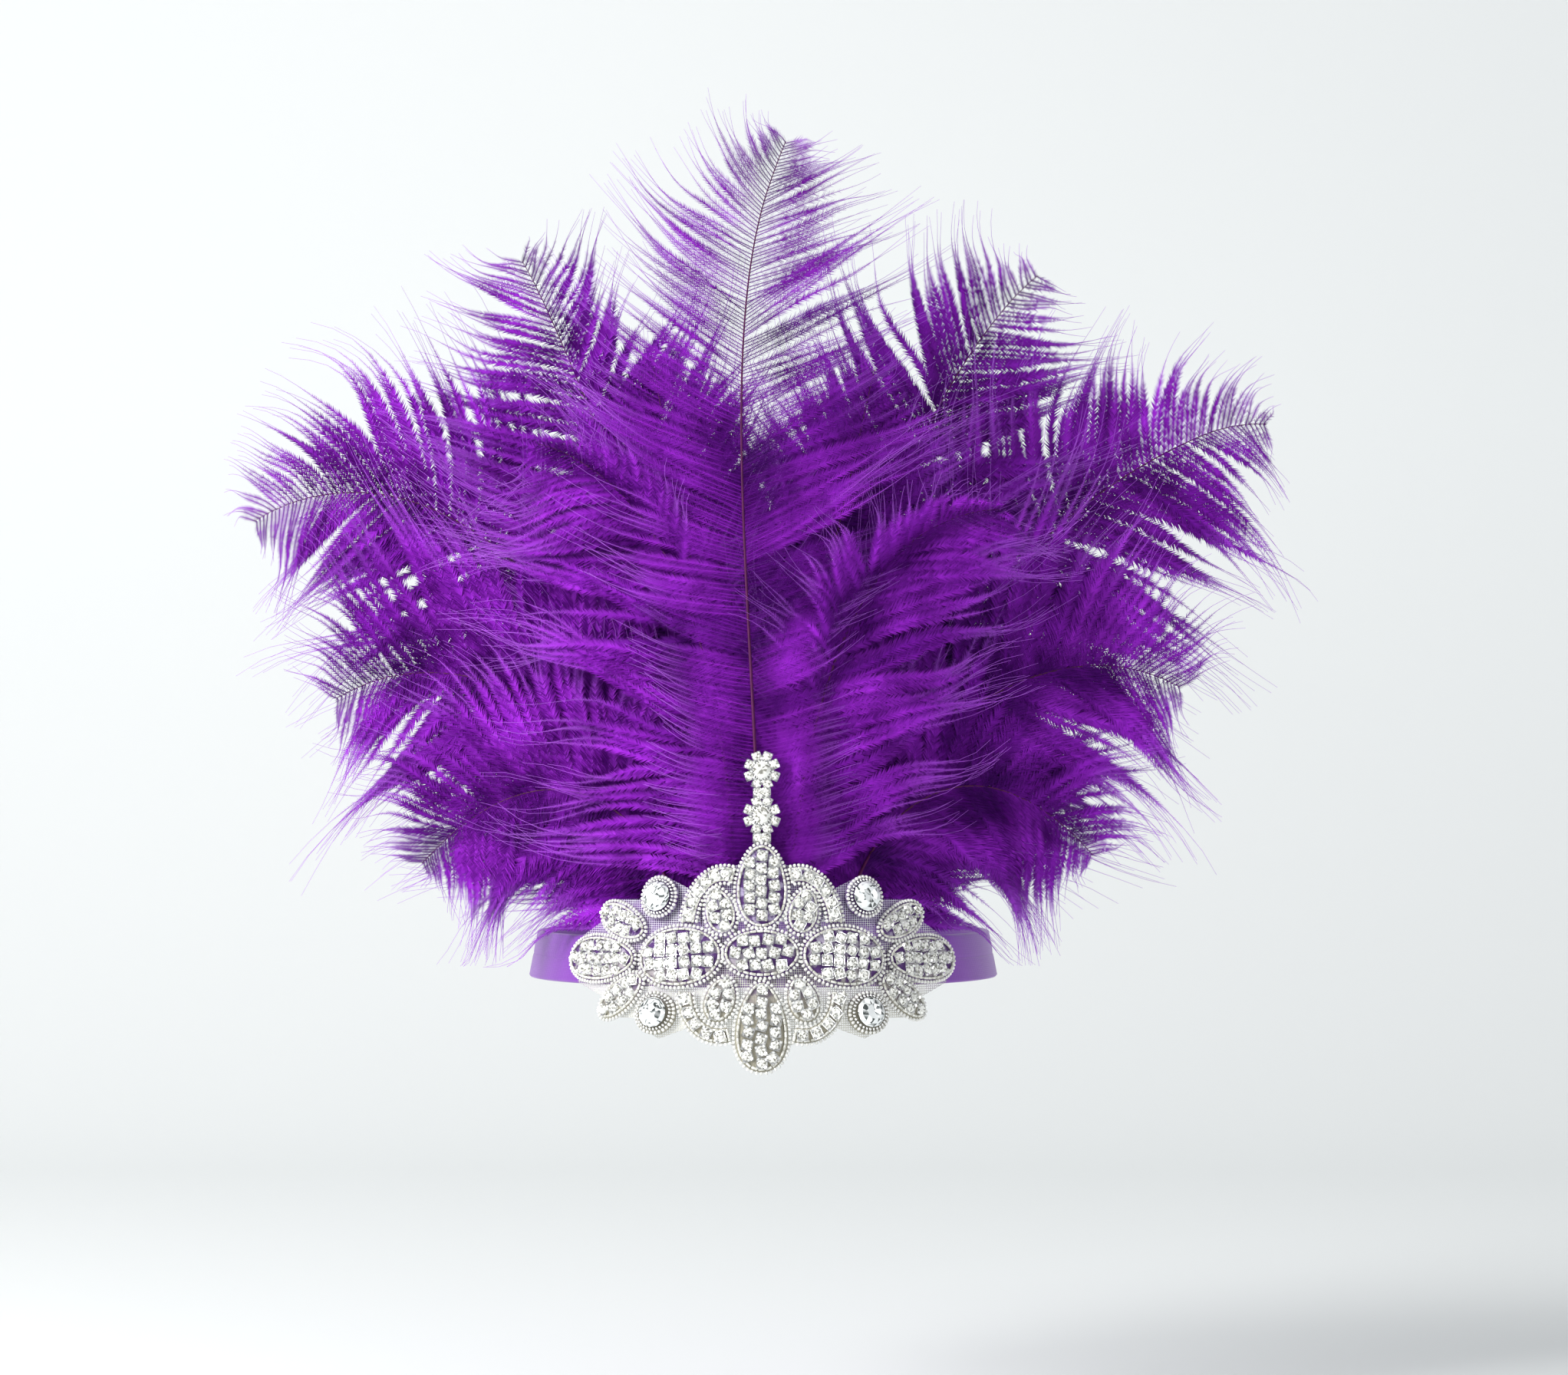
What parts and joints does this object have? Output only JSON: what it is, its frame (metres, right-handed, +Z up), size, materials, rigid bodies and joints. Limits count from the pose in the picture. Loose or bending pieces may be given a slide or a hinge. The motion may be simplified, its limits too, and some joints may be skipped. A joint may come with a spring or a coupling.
{
  "type": "showgirl feather headdress",
  "caption": "Fan of purple ostrich plumes standing on a narrow elastic headband, behind a lobed rhinestone applique with a two-flower stone trim.",
  "frame": {"origin": "the middle of the headband's loop, at half its height, where it sits round the head", "axes": "+Z up, the wearer looks along -Y, +X to the right of someone who looks at the wearer's face"},
  "size_m": [0.3731, 0.2098, 0.3251],
  "materials": {
    "plume": "soft dyed ostrich barbs, matt with a faint sheen",
    "band": "satin fold-over elastic",
    "net": "pale tulle backing",
    "stone": "clear foiled stones in bright silver cups, with silver-lined seed beads",
    "crystal": "large clear foiled crystals, polished"
  },
  "bodies": {
    "root": {"headband": "band", "applique_net": "net", "petal_top": "stone", "oval_centre": "stone", "petal_bottom": "stone", "flower_stem": "stone", "oval_left": "stone", "oval_right": "stone", "wing_upper_left": "stone", "wing_upper_right": "stone", "wing_middle_left": "stone", "wing_middle_right": "stone", "wing_lower_left": "stone", "wing_lower_right": "stone", "drop_upper_left": "stone", "drop_upper_right": "stone", "drop_lower_left": "stone", "drop_lower_right": "stone", "scroll_upper_left": "stone", "scroll_upper_right": "stone", "scroll_lower_left": "stone", "scroll_lower_right": "stone", "crystal_upper_left": "crystal", "crystal_upper_right": "crystal", "crystal_lower_left": "crystal", "crystal_lower_right": "crystal", "plume_centre": "plume", "plume_back_left": "plume", "plume_back_right": "plume", "plume_front_left": "plume", "plume_front_right": "plume", "plume_inner_left": "plume", "plume_inner_right": "plume", "plume_outer_left": "plume", "plume_outer_right": "plume", "plume_lower_left": "plume", "plume_lower_right": "plume", "plume_bottom_left": "plume", "plume_bottom_right": "plume"}
  },
  "joints": []
}
